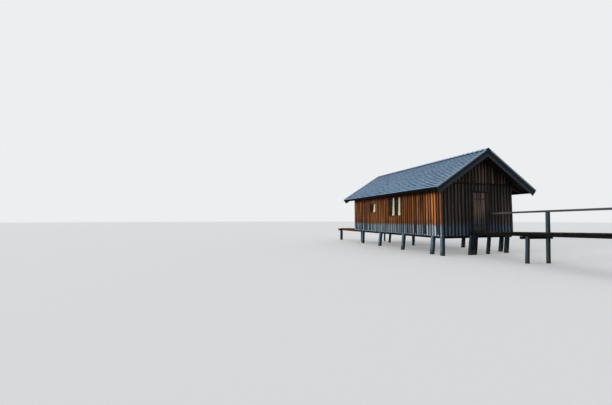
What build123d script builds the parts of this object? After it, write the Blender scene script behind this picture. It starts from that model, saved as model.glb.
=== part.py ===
from build123d import *
from math import cos, radians, sin, tan
import os

os.makedirs("parts", exist_ok=True)

# A timber boathouse on round piles, in millimetres: +Z is up, the gable with the door
# faces -Y and the windowed side faces -X. Heights count from the feet of the piles.
hut_length = 9220
hut_width = 4700
wall_foot_height = 930
plate_height = 3671
roof_pitch = 32.4
eave_overhang = 820
front_overhang = 680
rear_overhang = 210

# Walls: inner boards, and cover boards over their joints that set the wall's face.
board_thickness = 30
cover_board_thickness = 25
gable_joint_drop = 31
gable_joint_lap = 50
gable_board_step = 30

# Floor and the beams under it.
sill_bottom_height = 820
sill_width = 140
sill_depth = 160
joist_width = 90
joist_depth = 130
joist_spacing = 840
floor_thickness = 35

# Wall frame and roof frame.
post_width = 100
second_post_place = 1700
plate_width = 120
plate_depth = 120
rafter_seat_depth = 57
tie_beam_depth = 140
rafter_width = 70
rafter_depth = 140
rafter_count = 11
ridge_beam_width = 80
ridge_beam_depth = 200
roof_board_thickness = 24
roof_cover_thickness = 30
ridge_cap_width = 150
ridge_cap_thickness = 22
barge_board_thickness = 28
upper_barge_depth = 190
barge_lap = 20
lower_barge_depth = 170
verge_cap_width = 60
verge_cap_thickness = 22
verge_cap_drop = 45
verge_cap_lip = 10
fascia_thickness = 25
fascia_depth = 120
board_gap = 2

# Piles: round and leaning; places count from the front gable. The left row stands proud
# of the wall, the right row stands under it, and the middle row leans either way.
pile_radius = 110
left_pile_setback = 60
right_pile_setbacks = [230, 260, 135, 110, 405]
pile_head_gap = 4
left_pile_places = [7930, 5520, 3050, 655, 30]
right_pile_places = [7920, 5595, 3120, 570, 30]
left_pile_leans = [(-18, 40), (-70, 70), (-90, 35), (-56, 60), (-12, 15)]
right_pile_leans = [(18, 40), (-45, 70), (-144, -35), (-100, 40), (-115, 15)]
middle_pile_places = [7760, 5170, 3020]
middle_pile_heads = [-75, 0, -135]
middle_pile_leans = [(-123, -30), (-25, 20), (-140, 30)]
middle_pile_radius = 85
rear_pile_place = 260
rear_pile_radius = 65

# Doorway and plank door, hung on pintles on the left jamb and opening outwards.
leaf_left = -376
leaf_width = 1087
leaf_head_drop = 541
leaf_thickness = 35
leaf_proud = 5
door_gap = 6
jamb_width = 60
jamb_depth = 150
door_stop = 15
threshold_depth = 74
ledge_width = 120
ledge_thickness = 28
lower_ledge_rise = 290
upper_ledge_drop = 325
ledge_inset = 27
strap_length = 820
strap_width = 45
strap_thickness = 8
pin_radius = 8
pin_clearance = 1
eye_wall = 5
pintle_plate_width = 48
pintle_plate_thickness = 6
handle_rise = 890
handle_inset = 95
handle_length = 180
handle_reach = 42
handle_width = 18
handle_thickness = 8
handle_bend = 16

# Windows in each long wall: the glass's middle from the front gable, its width, its head
# under the wall plate's top, its height, and the lights side by side.
window_frame_width = 45
window_frame_depth = 90
window_recess = 8
glass_thickness = 4
glass_recess = 40
small_window = {"middle": 6464, "width": 672, "head_drop": 831, "height": 580, "lights": 1}
double_window = {"middle": 3882, "width": 1138, "head_drop": 581, "height": 1090, "lights": 2}
window_sill_thickness = 30
window_sill_proud = 35
curtain_thickness = 26
curtain_share = 0.62
curtain_setback = 62

# Jetty to the door: skewed in plan and rising outwards, on trestles of two piles.
deck_height = 1143
deck_width = 1160
deck_thickness = 40
jetty_middle = 85
jetty_skew = 11.0
jetty_slope = 1.8
trestle_places = [3180, 6650]
deck_end_gap = 10
deck_overrun = 150
stringer_width = 80
stringer_depth = 120
stringer_offset = 380
crossbeam_length = 1420
crossbeam_width = 90
crossbeam_depth = 110
trestle_pile_radius = 75
left_pile_offset = -400
right_pile_offset = 550
pile_notch = 28
deck_notch_gap = 16
trestle_leans = [((-25, 30), (-95, -5)), ((-50, 30), (20, 25))]
landing_bearer_length = 1640
landing_bearer_setback = 80
landing_bearer_rise = 10
grouped_pile_places = [-705, -532, -359]
grouped_pile_radius = 80
single_pile_place = 553
single_pile_radius = 88
landing_notch = 50
landing_head_drop = 20
landing_lean = (-105, 20)
rail_width = 60
rail_depth = 80
rail_wall_place = 840
rail_wall_height = 2030
rail_rise = 0.0088
rail_seat = 6

# Narrow platform behind the rear gable, in line with the windowed side. One pile stands under
# its far corner and carries the header.
platform_length = 2490
platform_header_width = 130
platform_header_reach = 240
platform_width = 720
platform_board_thickness = 30
platform_gap = 40
platform_edge = 20
platform_post_setback = 30
platform_pile_inset = 120
platform_lean = (10, 25)

# Boat gate in the rear gable, closed.
gate_width = 2400
gate_head_drop = 371
gate_thickness = 45

pieces = {}

pitch = radians(roof_pitch)
face_x = hut_width / 2
face_y = hut_length / 2
wall_x = face_x - cover_board_thickness
wall_y = face_y - cover_board_thickness
inner_x = wall_x - board_thickness
inner_y = wall_y - board_thickness
sill_top_height = sill_bottom_height + sill_depth
slope_length = (face_x + eave_overhang + 10) / cos(pitch)
boards_depth = roof_cover_thickness
rafter_top_depth = boards_depth + roof_board_thickness
rafter_bottom_depth = rafter_top_depth + rafter_depth
ridge_height = plate_height - rafter_seat_depth + inner_x * tan(pitch) + rafter_bottom_depth / cos(pitch)
gable_joint_height = plate_height - gable_joint_drop
gable_wall_top = gable_joint_height + gable_joint_lap
leaf_top_height = plate_height - leaf_head_drop
gate_top_height = plate_height - gate_head_drop
front_verge = -face_y - front_overhang
rear_verge = face_y + rear_overhang


def block(x_range, y_range, z_range):
    # A squared timber between two corners.
    ranges = (x_range, y_range, z_range)
    size = [max(pair) - min(pair) for pair in ranges]
    middle = [(max(pair) + min(pair)) / 2 for pair in ranges]
    return Pos(*middle) * Box(*size)


def centred(middle, width):
    return (middle - width / 2, middle + width / 2)


def roof_line(x, depth):
    # Height of the plane that lies a given depth under the roof's surface.
    return ridge_height - abs(x) * tan(pitch) - depth / cos(pitch)


def roof_point(side, along, depth):
    # A point in the gable's plane: so far down the slope, so deep under its surface.
    x = along * cos(pitch) - depth * sin(pitch)
    return (side * x, ridge_height - along * sin(pitch) - depth * cos(pitch))


def along_at(x, depth):
    # How far down the slope a depth line crosses the upright plane at x.
    return (x + depth * sin(pitch)) / cos(pitch)


def profile_along_y(outline, y_from, y_to):
    # A closed outline in X and Z, drawn out along Y.
    wire = Polyline([(x, y_from, z) for x, z in outline], close=True)
    return extrude(make_face(wire), amount=y_to - y_from, dir=(0, 1, 0))


def roof_layer(side, top, bottom, y_from, y_to, from_x=0, end=slope_length):
    # A layer of one roof slope, cut upright at the ridge and square at the eave.
    outline = [
        roof_point(side, along_at(from_x, top), top),
        roof_point(side, end, top),
        roof_point(side, end, bottom),
        roof_point(side, along_at(from_x, bottom), bottom),
    ]
    return profile_along_y(outline, y_from, y_to)


def pile(x, y, top, lean=(0, 0), radius=pile_radius):
    # A round post along a leaning axis, cut level at its foot and its head.
    axis = Vector(-lean[0], -lean[1], top)
    start = Vector(x + lean[0], y + lean[1], 0) - axis.normalized() * radius
    stock = Cylinder(radius, axis.length + 2 * radius, align=(Align.CENTER, Align.CENTER, Align.MIN))
    room = block(centred(x, 8 * radius), centred(y, 8 * radius), (0, top))
    return (Plane(origin=start, z_dir=axis) * stock) & room


def add(name, *solids):
    pieces[name] = Compound(children=[solid.solid() for solid in solids])


def make_sills():
    # Long sills under the side walls, cross sills under the gables and a beam down the middle.
    low, high = sill_bottom_height, sill_top_height
    rear_end = face_y + platform_length
    left = block((-inner_x, sill_width - inner_x), (-inner_y, rear_end), (low, high))
    right = block((inner_x - sill_width, inner_x), (-inner_y, inner_y), (low, high))
    across = (sill_width - inner_x, inner_x - sill_width)
    front = block(across, (-inner_y, sill_width - inner_y), (low, high))
    rear = block(across, (inner_y - sill_width, inner_y), (low, high))
    middle_y = (sill_width - inner_y, inner_y - sill_width)
    middle = block(centred(0, sill_width), middle_y, (low, high))
    add("side_sills", left, right)
    add("cross_sills", front, rear)
    add("middle_beam", middle)
    return [left, right, front, rear]


def make_piles(sills):
    # Side piles stand half outside the sills and are notched to carry them.
    head = wall_foot_height - pile_head_gap
    left_row = [left_pile_setback - face_x] * len(left_pile_places)
    right_row = [face_x - setback for setback in right_pile_setbacks]
    for name, heads, places, leans in (("piles_left", left_row, left_pile_places, left_pile_leans),
                                       ("piles_right", right_row, right_pile_places, right_pile_leans)):
        row = []
        for x, place, lean in zip(heads, places, leans):
            post = pile(x, place - face_y, head, lean)
            for sill in sills:
                post -= sill
            inside = block(centred(0, 2 * (inner_x - sill_width)),
                           centred(0, 2 * (inner_y - sill_width)), (sill_bottom_height, head))
            row.append(post - inside)
        add(name, *row)
    row = []
    for x, place, lean in zip(middle_pile_heads, middle_pile_places, middle_pile_leans):
        row.append(pile(x, place - face_y, sill_bottom_height, lean, middle_pile_radius))
    rear_y = inner_y - sill_width / 2
    row.append(pile(rear_pile_place, rear_y, sill_bottom_height, radius=rear_pile_radius))
    add("piles_middle", *row)


def doorway_range():
    # The width that the door frame takes out of the wall and the floor.
    return leaf_left - door_gap - jamb_width, leaf_left + leaf_width + door_gap + jamb_width


def make_floor():
    # Joists lie across the sills, and the floor boards on the joists.
    half_run = inner_y - sill_width
    count = int(2 * half_run // joist_spacing) + 1
    step = 2 * half_run / (count - 1)
    low, high = sill_top_height, sill_top_height + joist_depth
    joists = []
    clear_x = inner_x - post_width - board_gap
    for index in range(count):
        y = centred(-half_run + index * step, joist_width)
        joists.append(block((-clear_x, clear_x), y, (low, high)))
    add("floor_joists", *joists)
    floor = block((-clear_x, clear_x), (-inner_y, inner_y), (high, high + floor_thickness))
    floor -= block(doorway_range(), (-inner_y, -face_y + jamb_depth), (high, high + floor_thickness))
    add("floor", floor)


def window_sizes(window, margin):
    # Ranges along the wall and upwards of a window's glass with a margin all round.
    y = centred(window["middle"] - face_y, window["width"] + 2 * margin)
    head = plate_height - window["head_drop"]
    return y, (head - window["height"] - margin, head + margin)


def make_side_walls():
    # Boarded side walls, open at the windows.
    top = roof_line(wall_x, rafter_bottom_depth) - board_gap
    for name, side in (("left_wall", -1), ("right_wall", 1)):
        wall = block((side * inner_x, side * wall_x), (-wall_y, wall_y), (wall_foot_height, top))
        for window in (small_window, double_window):
            y, z = window_sizes(window, window_frame_width)
            wall -= block((side * (inner_x - 10), side * (wall_x + 10)), y, z)
        add(name, wall)


def make_windows():
    # Frames with a mullion between the lights, glass, sills and gathered curtains.
    frames = []
    glass = []
    sills = []
    curtains = []
    for side in (-1, 1):
        outer = face_x - window_recess
        deep = (side * outer, side * (outer - window_frame_depth))
        pane_x = face_x - glass_recess
        for window in (small_window, double_window):
            y, z = window_sizes(window, window_frame_width)
            glass_y, height = window_sizes(window, 0)
            frame = block(deep, y, z)
            light = window["width"] / window["lights"]
            for index in range(window["lights"]):
                start = glass_y[0] + index * light
                inset = 0 if window["lights"] == 1 else window_frame_width / 2
                low = start if index == 0 else start + inset
                high = start + light if index == window["lights"] - 1 else start + light - inset
                frame -= block(deep, (low, high), height)
                pane = (side * pane_x, side * (pane_x - glass_thickness))
                glass.append(block(pane, (low, high), height))
                near = (high - low) * curtain_share
                back = outer - curtain_setback
                cloth_x = (side * back, side * (back - curtain_thickness))
                curtains.append(block(cloth_x, (low, low + near), height))
            frames.append(frame)
            shelf_x = (side * wall_x, side * (face_x + window_sill_proud))
            shelf_y = (y[0] - window_sill_proud, y[1] + window_sill_proud)
            sills.append(block(shelf_x, shelf_y, (z[0] - window_sill_thickness, z[0])))
    add("window_frames", *frames)
    add("window_glass", *glass)
    add("window_sills", *sills)
    add("window_curtains", *curtains)


def make_wall_frame():
    # Posts stand on the sills and carry the wall plates; tie beams join the plates.
    plate_bottom = plate_height - plate_depth
    ends = inner_y - post_width / 2
    beside = []
    for window in (small_window, double_window):
        y, z = window_sizes(window, window_frame_width)
        beside += [y[0] - post_width / 2 - board_gap, y[1] + post_width / 2 + board_gap]
    places = [-ends, second_post_place - face_y] + beside + [ends]
    posts = []
    for side in (-1, 1):
        x = (side * inner_x, side * (inner_x - post_width))
        for place in places:
            posts.append(block(x, centred(place, post_width), (sill_top_height, plate_bottom)))
    add("wall_posts", *posts)
    plates = []
    for side in (-1, 1):
        x = (side * inner_x, side * (inner_x - plate_width))
        y = (front_verge + 2 * barge_board_thickness, rear_verge - 2 * barge_board_thickness)
        plates.append(block(x, y, (plate_bottom, plate_height)))
    add("wall_plates", *plates)
    span = inner_x - plate_width
    beams = []
    kings = []
    for place in (-ends, -ends / 3, ends / 3, ends):
        y = centred(place, post_width)
        beams.append(block((-span, span), y, (plate_height - tie_beam_depth, plate_height)))
        kings.append(block(centred(0, ridge_beam_width), y, (plate_height, ridge_beam_low())))
    add("tie_beams", *beams)
    add("king_posts", *kings)
    return plates


def ridge_beam_low():
    # Underside of the ridge beam, whose top edges meet the roof boards.
    return roof_line(ridge_beam_width / 2, rafter_top_depth) - ridge_beam_depth


def make_roof_frame(plates):
    # Rafters lean on the ridge beam and are notched over the wall plates.
    ridge_low = ridge_beam_low()
    y = (front_verge + 2 * barge_board_thickness, rear_verge - 2 * barge_board_thickness)
    ridge_z = (ridge_low, ridge_low + ridge_beam_depth)
    add("ridge_beam", block(centred(0, ridge_beam_width), y, ridge_z))
    first = -inner_y + rafter_width / 2
    step = 2 * -first / (rafter_count - 1)
    places = [y[0] + rafter_width / 2] + [first + index * step for index in range(rafter_count)]
    tail = slope_length - fascia_thickness
    rafters = []
    for side, plate in zip((-1, 1), plates):
        for place in places:
            span = centred(place, rafter_width)
            rafter = roof_layer(side, rafter_top_depth, rafter_bottom_depth, *span,
                                from_x=ridge_beam_width / 2, end=tail)
            rafters.append(rafter - plate)
    add("rafters", *rafters)


def make_roof():
    # Roof boards and their covering, barge boards in two steps, and trim along the edges.
    y = (front_verge + barge_board_thickness, rear_verge - barge_board_thickness)
    for name, side in (("left", -1), ("right", 1)):
        add("roof_boards_" + name, roof_layer(side, boards_depth, rafter_top_depth, *y))
        add("roof_cover_" + name, roof_layer(side, 0, boards_depth, *y))
    fascias = []
    caps = []
    for side in (-1, 1):
        start = slope_length - fascia_thickness
        outline = [roof_point(side, start, rafter_top_depth),
                   roof_point(side, slope_length, rafter_top_depth),
                   roof_point(side, slope_length, rafter_top_depth + fascia_depth),
                   roof_point(side, start, rafter_top_depth + fascia_depth)]
        inside = (y[0] + barge_board_thickness, y[1] - barge_board_thickness)
        fascias.append(profile_along_y(outline, *inside))
        for verge, inward in ((front_verge, 1), (rear_verge, -1)):
            outer = verge - inward * verge_cap_lip
            strip = sorted((outer, outer + inward * verge_cap_width))
            lip = sorted((outer, verge))
            caps.append(roof_layer(side, -verge_cap_thickness, 0, *strip, from_x=ridge_cap_width)
                        + roof_layer(side, 0, verge_cap_drop, *lip, from_x=ridge_cap_width))
    add("eave_fascias", *fascias)
    add("verge_caps", *caps)
    step_depth = upper_barge_depth - barge_lap
    for name, verge, inward in (("front", front_verge, 1), ("rear", rear_verge, -1)):
        boards = []
        for side in (-1, 1):
            outer = sorted((verge, verge + inward * barge_board_thickness))
            upper = roof_layer(side, 0, upper_barge_depth, *outer, from_x=board_gap / 2)
            inner = sorted((outer[0] + inward * barge_board_thickness,
                            outer[1] + inward * barge_board_thickness))
            lower = roof_layer(side, rafter_top_depth, step_depth + lower_barge_depth, *inner,
                               from_x=board_gap / 2)
            boards.append(upper + lower)
        add("barge_boards_" + name, *boards)
    ridge_y = (front_verge - 10, rear_verge + 10)
    outline = [roof_point(-1, ridge_cap_width, 0), roof_point(-1, ridge_cap_width, -ridge_cap_thickness),
               (0, roof_line(0, -ridge_cap_thickness)),
               roof_point(1, ridge_cap_width, -ridge_cap_thickness), roof_point(1, ridge_cap_width, 0),
               (0, ridge_height)]
    add("ridge_cap", profile_along_y(outline, *ridge_y))


def gable_outline(low):
    # The triangle over a gable's wall, up to the underside of the roof boards.
    corner = roof_line(face_x, rafter_top_depth) - board_gap
    peak = roof_line(0, rafter_top_depth) - board_gap
    return [(-face_x, low), (face_x, low), (face_x, corner), (0, peak), (-face_x, corner)]


def make_gables(plates):
    # The upper gable boards hang over the wall below, with a drip joint between them.
    for name, side in (("front_gable", -1), ("rear_gable", 1)):
        outer = side * (wall_y + gable_board_step)
        span = sorted((side * wall_y, outer))
        gable = profile_along_y(gable_outline(gable_joint_height), *span)
        for plate in plates:
            gable -= plate
        gable -= block(centred(0, ridge_beam_width), span, (ridge_beam_low(), ridge_height))
        add(name, gable)


def make_front_wall(plates):
    # The wall with the doorway: a part each side of it, one over it and one under it.
    jamb_outer_left, jamb_outer_right = doorway_range()
    head_low = leaf_top_height + door_gap
    leaf_low = leaf_foot()
    y = (-wall_y, -inner_y)
    top = gable_wall_top
    left = block((-inner_x, jamb_outer_left), y, (wall_foot_height, top))
    right = block((jamb_outer_right, inner_x), y, (wall_foot_height, top))
    head = block((jamb_outer_left, jamb_outer_right), y, (head_low + jamb_width, top))
    threshold_low = leaf_low - door_gap - threshold_depth
    foot = block((jamb_outer_left, jamb_outer_right), y, (wall_foot_height, threshold_low))
    for plate in plates:
        left -= plate
        right -= plate
    add("front_wall_left", left)
    add("front_wall_right", right)
    add("front_wall_head", head)
    add("front_wall_foot", foot)
    deep = (-face_y, -face_y + jamb_depth)
    stop_from = -face_y - leaf_proud + leaf_thickness + 5
    jambs = []
    height = (threshold_low, head_low)
    for outer, inward in ((jamb_outer_left, 1), (jamb_outer_right, -1)):
        face = outer + inward * jamb_width
        jamb = block((outer, face), deep, height)
        jamb += block((face, face + inward * door_stop), (stop_from, deep[1]), height)
        jambs.append(jamb)
    lintel = block((jamb_outer_left, jamb_outer_right), deep, (head_low, head_low + jamb_width))
    face_left, face_right = jamb_outer_left + jamb_width, jamb_outer_right - jamb_width
    threshold = block((face_left, face_right), deep, (threshold_low, leaf_low - door_gap))
    for jamb in jambs:
        threshold -= jamb
    add("door_jambs", *jambs)
    add("door_lintel", lintel)
    add("door_threshold", threshold)


def leaf_foot():
    # The leaf swings out over a deck that rises away from the wall, and clears it.
    reach = leaf_width + 110
    return deck_height + reach * tan(radians(jetty_slope)) + door_gap + 3


def hinge_place():
    # The pins stand in front of the leaf's face, beside its left edge.
    eye_radius = pin_radius + pin_clearance + eye_wall
    return leaf_left - 9, -face_y - leaf_proud - eye_radius


def make_door():
    # A leaf of upright planks on two ledges, with strap hinges on pintles and a pull.
    pin_x, pin_y = hinge_place()
    eye_radius = pin_radius + pin_clearance + eye_wall
    low = leaf_foot()
    face = -face_y - leaf_proud
    back = face + leaf_thickness
    right = leaf_left + leaf_width
    add("door_leaf", block((leaf_left, right), (face, back), (low, leaf_top_height)))
    ledges = []
    straps = []
    pintles = []
    ledge_x = (leaf_left + ledge_inset, right - ledge_inset)
    for height in (low + lower_ledge_rise, leaf_top_height - upper_ledge_drop):
        z = centred(height, ledge_width)
        ledges.append(block(ledge_x, (back, back + ledge_thickness), z))
        z = centred(height, strap_width)
        strap = block((pin_x, pin_x + strap_length), (face - strap_thickness, face), z)
        strap += Pos(pin_x, pin_y, height) * Cylinder(eye_radius, strap_width)
        strap += Pos(pin_x + strap_length, face - strap_thickness / 2, height) * Rot(90, 0, 0) * Cylinder(
            strap_width / 2, strap_thickness)
        strap -= Pos(pin_x, pin_y, height) * Cylinder(pin_radius + pin_clearance, 2 * strap_width)
        straps.append(strap)
        pintle_top = height + strap_width / 2 + 6
        arm_top = height - strap_width / 2 - 1
        arm_low = arm_top - 30
        pin = Pos(pin_x, pin_y, (arm_low + pintle_top) / 2) * Cylinder(pin_radius, pintle_top - arm_low)
        knuckle = Pos(pin_x, pin_y, (arm_low + arm_top) / 2) * Cylinder(12, arm_top - arm_low)
        arm = block((pin_x - 12, pin_x + 1), (pin_y, -face_y), (arm_low, arm_top))
        plate_x = (pin_x - 7 - pintle_plate_width, pin_x - 7)
        plate_y = (-face_y - pintle_plate_thickness, -face_y)
        plate = block(plate_x, plate_y, (arm_low - 60, arm_top))
        pintles.append(pin + knuckle + arm + plate)
    add("door_ledges", *ledges)
    add("door_straps", *straps)
    add("door_pintles", *pintles)
    grip_x = right - handle_inset
    grip_y = face - handle_reach
    half = handle_length / 2
    handle_height = low + handle_rise
    path = FilletPolyline(
        [(grip_x, face, handle_height - half), (grip_x, grip_y, handle_height - half),
         (grip_x, grip_y, handle_height + half), (grip_x, face, handle_height + half)],
        radius=handle_bend)
    start = Plane(origin=path @ 0, x_dir=(1, 0, 0), z_dir=path % 0)
    add("door_handle", sweep(start * Rectangle(handle_width, handle_thickness), path=path))


def make_rear_wall(plates, sill):
    # The rear wall is boarded each side of a boat gate of two closed leaves.
    y = (inner_y, wall_y)
    top = gable_wall_top
    half = gate_width / 2
    for name, side in (("rear_wall_left", -1), ("rear_wall_right", 1)):
        wall = block((side * inner_x, side * half), y, (wall_foot_height, top))
        for beam in plates + [sill]:
            wall -= beam
        add(name, wall)
    add("rear_wall_head", block((-half, half), y, (gate_top_height, top)))
    gate = []
    gate_y = (inner_y, inner_y + gate_thickness)
    for side in (-1, 1):
        leaf_x = (side * board_gap, side * (half - board_gap))
        gate.append(block(leaf_x, gate_y, (wall_foot_height, gate_top_height - board_gap)))
    add("boat_gate", *gate)


def jetty_frame():
    # Local axes of the jetty: X across it, Y back towards the door, Z square to its deck.
    start = Pos(jetty_middle, -face_y - deck_end_gap, deck_height)
    return start * Rot(0, 0, -jetty_skew) * Rot(-jetty_slope, 0, 0)


def jetty_place(across, out):
    # Plan place and deck height of a point on the jetty.
    spot = (jetty_frame() * Pos(across, -out, 0)).position
    return spot.X, spot.Y, spot.Z


def make_trestles():
    # Two leaning piles to a trestle, notched on the wall's side to hold the crossbeam.
    frame = jetty_frame()
    stringer_low = -deck_thickness - stringer_depth
    beam_middle = (left_pile_offset + right_pile_offset) / 2
    beams = []
    low_piles = []
    tall_piles = []
    for place, leans in zip(trestle_places, trestle_leans):
        near = trestle_pile_radius - pile_notch - place
        beam = frame * block(centred(beam_middle, crossbeam_length), (near, near + crossbeam_width),
                             (stringer_low - crossbeam_depth, stringer_low))
        x, y, z = jetty_place(left_pile_offset, place)
        post = pile(x, y, z + stringer_low - pile_head_gap, leans[0], trestle_pile_radius)
        low_piles.append(post - beam)
        x, y, z = jetty_place(right_pile_offset, place)
        post = pile(x, y, rail_height(place) + rail_seat, leans[1], trestle_pile_radius)
        tall_piles.append(post - beam)
        beams.append(beam)
    add("jetty_crossbeams", *beams)
    return low_piles, tall_piles


def make_landing():
    # At the wall a level bearer lies on a group of piles and a single one.
    bearer_y = -face_y - landing_bearer_setback
    wall_side = bearer_y - crossbeam_width / 2
    top = deck_height - deck_thickness - stringer_depth + landing_bearer_rise
    bearer = block(centred(0, landing_bearer_length), centred(bearer_y, crossbeam_width),
                   (top - crossbeam_depth, top))
    add("landing_bearer", bearer)
    piles = []
    for place in grouped_pile_places:
        y = wall_side - grouped_pile_radius + landing_notch
        post = pile(place, y, top - landing_head_drop, landing_lean, grouped_pile_radius)
        seat = block(centred(place, 4 * grouped_pile_radius), (wall_side, -face_y), (top - crossbeam_depth, top))
        piles.append(post - seat)
    head = top - crossbeam_depth
    piles.append(pile(single_pile_place, bearer_y, head, landing_lean, single_pile_radius))
    return bearer, piles


def make_deck(bearer):
    # Two stringers under a deck that is cut round the tall piles.
    frame = jetty_frame()
    run = trestle_places[-1] + deck_overrun
    wall_side = block((-hut_width, hut_width), (-face_y - deck_end_gap, 0), (0, plate_height))
    stringers = []
    for side in (-1, 1):
        across = centred(side * stringer_offset, stringer_width)
        beam = frame * block(across, (-run, deck_width), (-deck_thickness - stringer_depth, -deck_thickness))
        stringers.append(beam - wall_side - bearer)
    add("jetty_stringers", *stringers)
    notches = []
    for place, leans in zip(trestle_places, trestle_leans):
        x, y, z = jetty_place(right_pile_offset, place)
        share = 1 - z / (rail_height(place) + rail_seat)
        lean_x, lean_y = leans[1]
        radius = trestle_pile_radius + deck_notch_gap
        notches.append(Pos(x + share * lean_x, y + share * lean_y, z) * Cylinder(radius, 4 * deck_thickness))
    joint = -trestle_places[0]
    parts_of_run = (("jetty_deck_inner", deck_width, joint), ("jetty_deck_outer", joint, -run))
    for name, near, far in parts_of_run:
        deck = frame * block(centred(0, deck_width), (far, near), (-deck_thickness, 0)) - wall_side
        for notch in notches:
            deck -= notch
        add(name, deck)


def rail_height(out):
    # Underside of the handrail at a distance from the wall.
    return rail_wall_height + out * rail_rise


def rail_between(start, end, gap, overrun):
    # A squared rail lying on two points of its underside.
    line = Vector(*end) - Vector(*start)
    upright = line.cross(Vector(0, 0, 1)).cross(line)
    plane = Plane(origin=Vector(*start) + line.normalized() * gap, x_dir=line, z_dir=upright)
    length = line.length - gap + overrun
    return plane * Box(length, rail_width, rail_depth, align=(Align.MIN, Align.CENTER, Align.MIN))


def make_handrail(tall_piles):
    # The rail runs from the gable over the tall piles, let a little into their heads.
    start = (rail_wall_place, -inner_y, rail_height(0))
    rails = []
    for place in trestle_places:
        x, y, z = jetty_place(right_pile_offset, place)
        end = (x, y, rail_height(place))
        last = place == trestle_places[-1]
        rails.append(rail_between(start, end, board_gap, deck_overrun if last else 0))
        start = end
    rails[0] -= block((0, hut_width), (-wall_y, 0), (0, plate_height))
    add("handrail", *rails)
    seated = []
    for post in tall_piles:
        for rail in rails:
            post -= rail
        seated.append(post)
    return seated


def make_jetty():
    low_piles, tall_piles = make_trestles()
    bearer, landing_piles = make_landing()
    make_deck(bearer)
    tall_piles = make_handrail(tall_piles)
    add("jetty_piles", *landing_piles, *low_piles, *tall_piles)


def make_platform():
    # The left sill runs on behind the gable and carries a narrow deck with an inner beam.
    near = face_y + platform_gap
    far = face_y + platform_length
    inner = platform_width - inner_x
    beam_x = (inner - sill_width, inner)
    low, high = sill_bottom_height, sill_top_height
    add("platform_beam", block(beam_x, (near, far), (low, high)))
    header_end = far + platform_header_width
    add("platform_header", block((-face_x - platform_header_reach, inner + platform_edge), (far, header_end),
                                 (low, high)))
    deck = block((-inner_x - platform_edge, inner + platform_edge), (near, header_end + platform_edge),
                 (high, high + platform_board_thickness))
    add("platform_deck", deck)
    corner = pile(platform_post_setback - face_x, (far + header_end) / 2, low, platform_lean)
    near_post = pile(sum(beam_x) / 2, near + platform_pile_inset, low, platform_lean, trestle_pile_radius)
    add("platform_piles", corner, near_post)


sills = make_sills()
make_piles(sills)
make_floor()
make_side_walls()
make_windows()
plates = make_wall_frame()
make_roof_frame(plates)
make_roof()
make_gables(plates)
make_front_wall(plates)
make_door()
make_rear_wall(plates, sills[0])
make_jetty()
make_platform()

# The origin is under the middle of the whole footprint, at the piles' feet.
whole = Compound(children=[solid for piece in pieces.values() for solid in piece.solids()])
box = whole.bounding_box()
shift = Pos(-(box.min.X + box.max.X) / 2, -(box.min.Y + box.max.Y) / 2, -box.min.Z)
for name, piece in pieces.items():
    export_step(shift * piece, "parts/" + name + ".step")
pin_x, pin_y = hinge_place()
print("origin moved by", round(shift.position.Y, 4), "along Y")
print("door pins at", round(pin_x, 4), round(pin_y + shift.position.Y, 4))
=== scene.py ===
import math
import random
import bmesh
import bpy
from mathutils import Color, Matrix, Vector, noise


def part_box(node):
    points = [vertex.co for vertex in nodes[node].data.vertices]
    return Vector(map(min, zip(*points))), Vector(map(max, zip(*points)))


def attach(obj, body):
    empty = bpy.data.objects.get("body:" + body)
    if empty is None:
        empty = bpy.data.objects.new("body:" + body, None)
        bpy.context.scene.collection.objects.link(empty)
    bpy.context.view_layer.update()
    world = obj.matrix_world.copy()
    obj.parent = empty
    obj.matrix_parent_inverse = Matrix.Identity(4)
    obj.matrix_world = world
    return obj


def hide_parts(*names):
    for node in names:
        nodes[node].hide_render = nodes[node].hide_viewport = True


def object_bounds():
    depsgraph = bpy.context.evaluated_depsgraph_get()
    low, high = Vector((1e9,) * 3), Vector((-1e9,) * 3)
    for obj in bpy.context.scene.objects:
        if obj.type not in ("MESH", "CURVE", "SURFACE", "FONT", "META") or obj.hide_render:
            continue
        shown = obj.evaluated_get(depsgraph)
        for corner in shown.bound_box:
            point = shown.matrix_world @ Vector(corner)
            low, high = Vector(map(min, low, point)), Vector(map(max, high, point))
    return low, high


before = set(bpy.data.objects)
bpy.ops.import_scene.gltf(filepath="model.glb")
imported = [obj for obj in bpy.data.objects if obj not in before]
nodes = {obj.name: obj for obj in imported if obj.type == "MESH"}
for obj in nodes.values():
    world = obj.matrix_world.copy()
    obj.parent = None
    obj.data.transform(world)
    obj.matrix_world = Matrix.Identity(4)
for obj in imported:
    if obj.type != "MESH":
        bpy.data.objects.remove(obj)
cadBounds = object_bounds()
scene = bpy.context.scene
print("frame loaded:", len(nodes), "nodes")


# camera: fitted to the hut's eaves, ridge and corners in the photo
camera = {
    "place": (-12.970, -14.184, 1.767),
    "yaw": 17.58,  # degrees to the right of +Y
    "pitch": 3.29,
    "lens": 17.206,
    "sensor": 36.0,
    "reach": 900,
}


def makeCamera():
    data = bpy.data.cameras.new("camera")
    data.lens = camera["lens"]
    data.sensor_width = camera["sensor"]
    data.sensor_fit = "HORIZONTAL"
    data.clip_end = camera["reach"]
    eye = bpy.data.objects.new("camera", data)
    eye.location = camera["place"]
    eye.rotation_euler = (math.radians(90 + camera["pitch"]), 0, math.radians(-camera["yaw"]))
    scene.collection.objects.link(eye)
    scene.camera = eye


makeCamera()


# shaders
def rgb(red, green, blue):
    # A colour as it looks on screen, given to the shader as light.
    return tuple(Color((red / 255, green / 255, blue / 255)).from_srgb_to_scene_linear())


def darker(colour, share):
    return tuple(value * share for value in colour)


def between(span, share):
    low, high = span
    return low + share * (high - low)


def blend(shares, *patterns):
    # The patterns added up, each by its share.
    first, *others = (pattern * share for pattern, share in zip(patterns, shares))
    return sum(others, first)


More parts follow.
